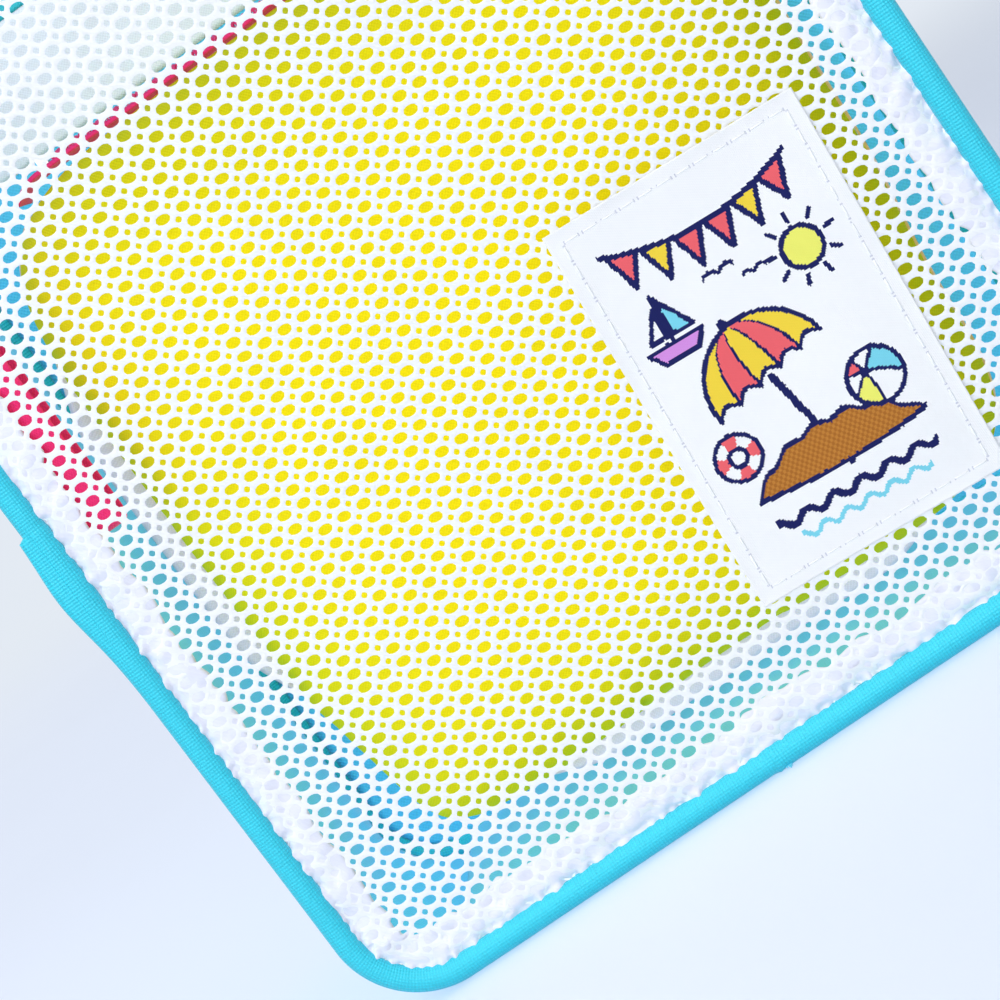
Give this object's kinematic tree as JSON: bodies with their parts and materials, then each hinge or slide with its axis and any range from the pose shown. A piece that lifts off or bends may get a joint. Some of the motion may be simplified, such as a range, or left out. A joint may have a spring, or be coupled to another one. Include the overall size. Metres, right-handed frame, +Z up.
{
  "type": "mesh beach bag",
  "caption": "Standing open-top mesh beach bag with webbing handles, piped seams, a sewn label, a key leash and a padded zip pouch that lifts out.",
  "frame": {"origin": "middle of the flat bottom that the bag stands on", "axes": "+Z up towards the rim and handles, -Y out of the mesh front, +X to the right seen from the front"},
  "size_m": [0.2058, 0.136, 0.3718],
  "materials": {
    "white_mesh": "matte polyester net",
    "piping_fabric": "matte plain weave, cut on the bias",
    "side_fabric": "matte plain weave",
    "filler_cord": "matte cotton cord",
    "white_fabric": "matte plain weave",
    "board": "matte sheet",
    "label_satin": "satin weave with a woven picture",
    "webbing": "ribbed webbing",
    "pink_ribbon": "ribbed ribbon",
    "yellow_fabric": "padded smooth weave",
    "zip_plastic": "smooth moulded",
    "zip_metal": "polished"
  },
  "bodies": {
    "bag": {"front_mesh": "white_mesh", "front_seam_band": "white_mesh", "front_piping_cover": "piping_fabric", "front_piping_cord": "filler_cord", "back_panel": "side_fabric", "back_piping_cover": "piping_fabric", "back_piping_cord": "filler_cord", "gusset": "side_fabric", "inner_facing": "white_fabric", "rim_binding": "piping_fabric", "base_sleeve": "side_fabric", "base_board": "board", "woven_label": "label_satin", "front_handle_ends": "webbing", "back_handle_ends": "webbing", "leash_end": "pink_ribbon"},
    "front_handle": {"front_handle": "webbing"},
    "back_handle": {"back_handle": "webbing"},
    "key_leash": {"key_leash": "pink_ribbon"},
    "pouch": {"pouch_front": "yellow_fabric", "pouch_back": "yellow_fabric", "pouch_binding": "white_fabric", "zip_tape": "pink_ribbon", "zip_coil": "zip_plastic", "zip_stops": "zip_metal"},
    "zip_slider": {"zip_slider": "zip_metal"},
    "zip_pull": {"zip_pull": "zip_plastic"}
  },
  "joints": [
    {"name": "front_handle_swing", "type": "hinge", "parent": "bag", "child": "front_handle", "pos_m": [0, -0.0438, 0.2485], "axis": [1, 0, 0], "range_deg": [-18, 162]},
    {"name": "back_handle_swing", "type": "hinge", "parent": "bag", "child": "back_handle", "pos_m": [0, 0.0438, 0.2485], "axis": [-1, 0, 0], "range_deg": [-18, 162]},
    {"name": "key_leash_swing", "type": "hinge", "parent": "bag", "child": "key_leash", "pos_m": [-0.0906, -0.0371, 0.2259], "axis": [1, 0, 0], "range_deg": [0, 14]},
    {"name": "pouch_lift", "type": "slide", "parent": "bag", "child": "pouch", "axis": [0, 0, 1], "range_m": [0, 0.245]},
    {"name": "zip_slide", "type": "slide", "parent": "pouch", "child": "zip_slider", "axis": [-1, 0, 0], "range_m": [0, 0.11]},
    {"name": "zip_pull_swing", "type": "hinge", "parent": "zip_slider", "child": "zip_pull", "pos_m": [0.058, 0.004, 0.1958], "axis": [0, 1, 0], "range_deg": [0, 170]}
  ]
}
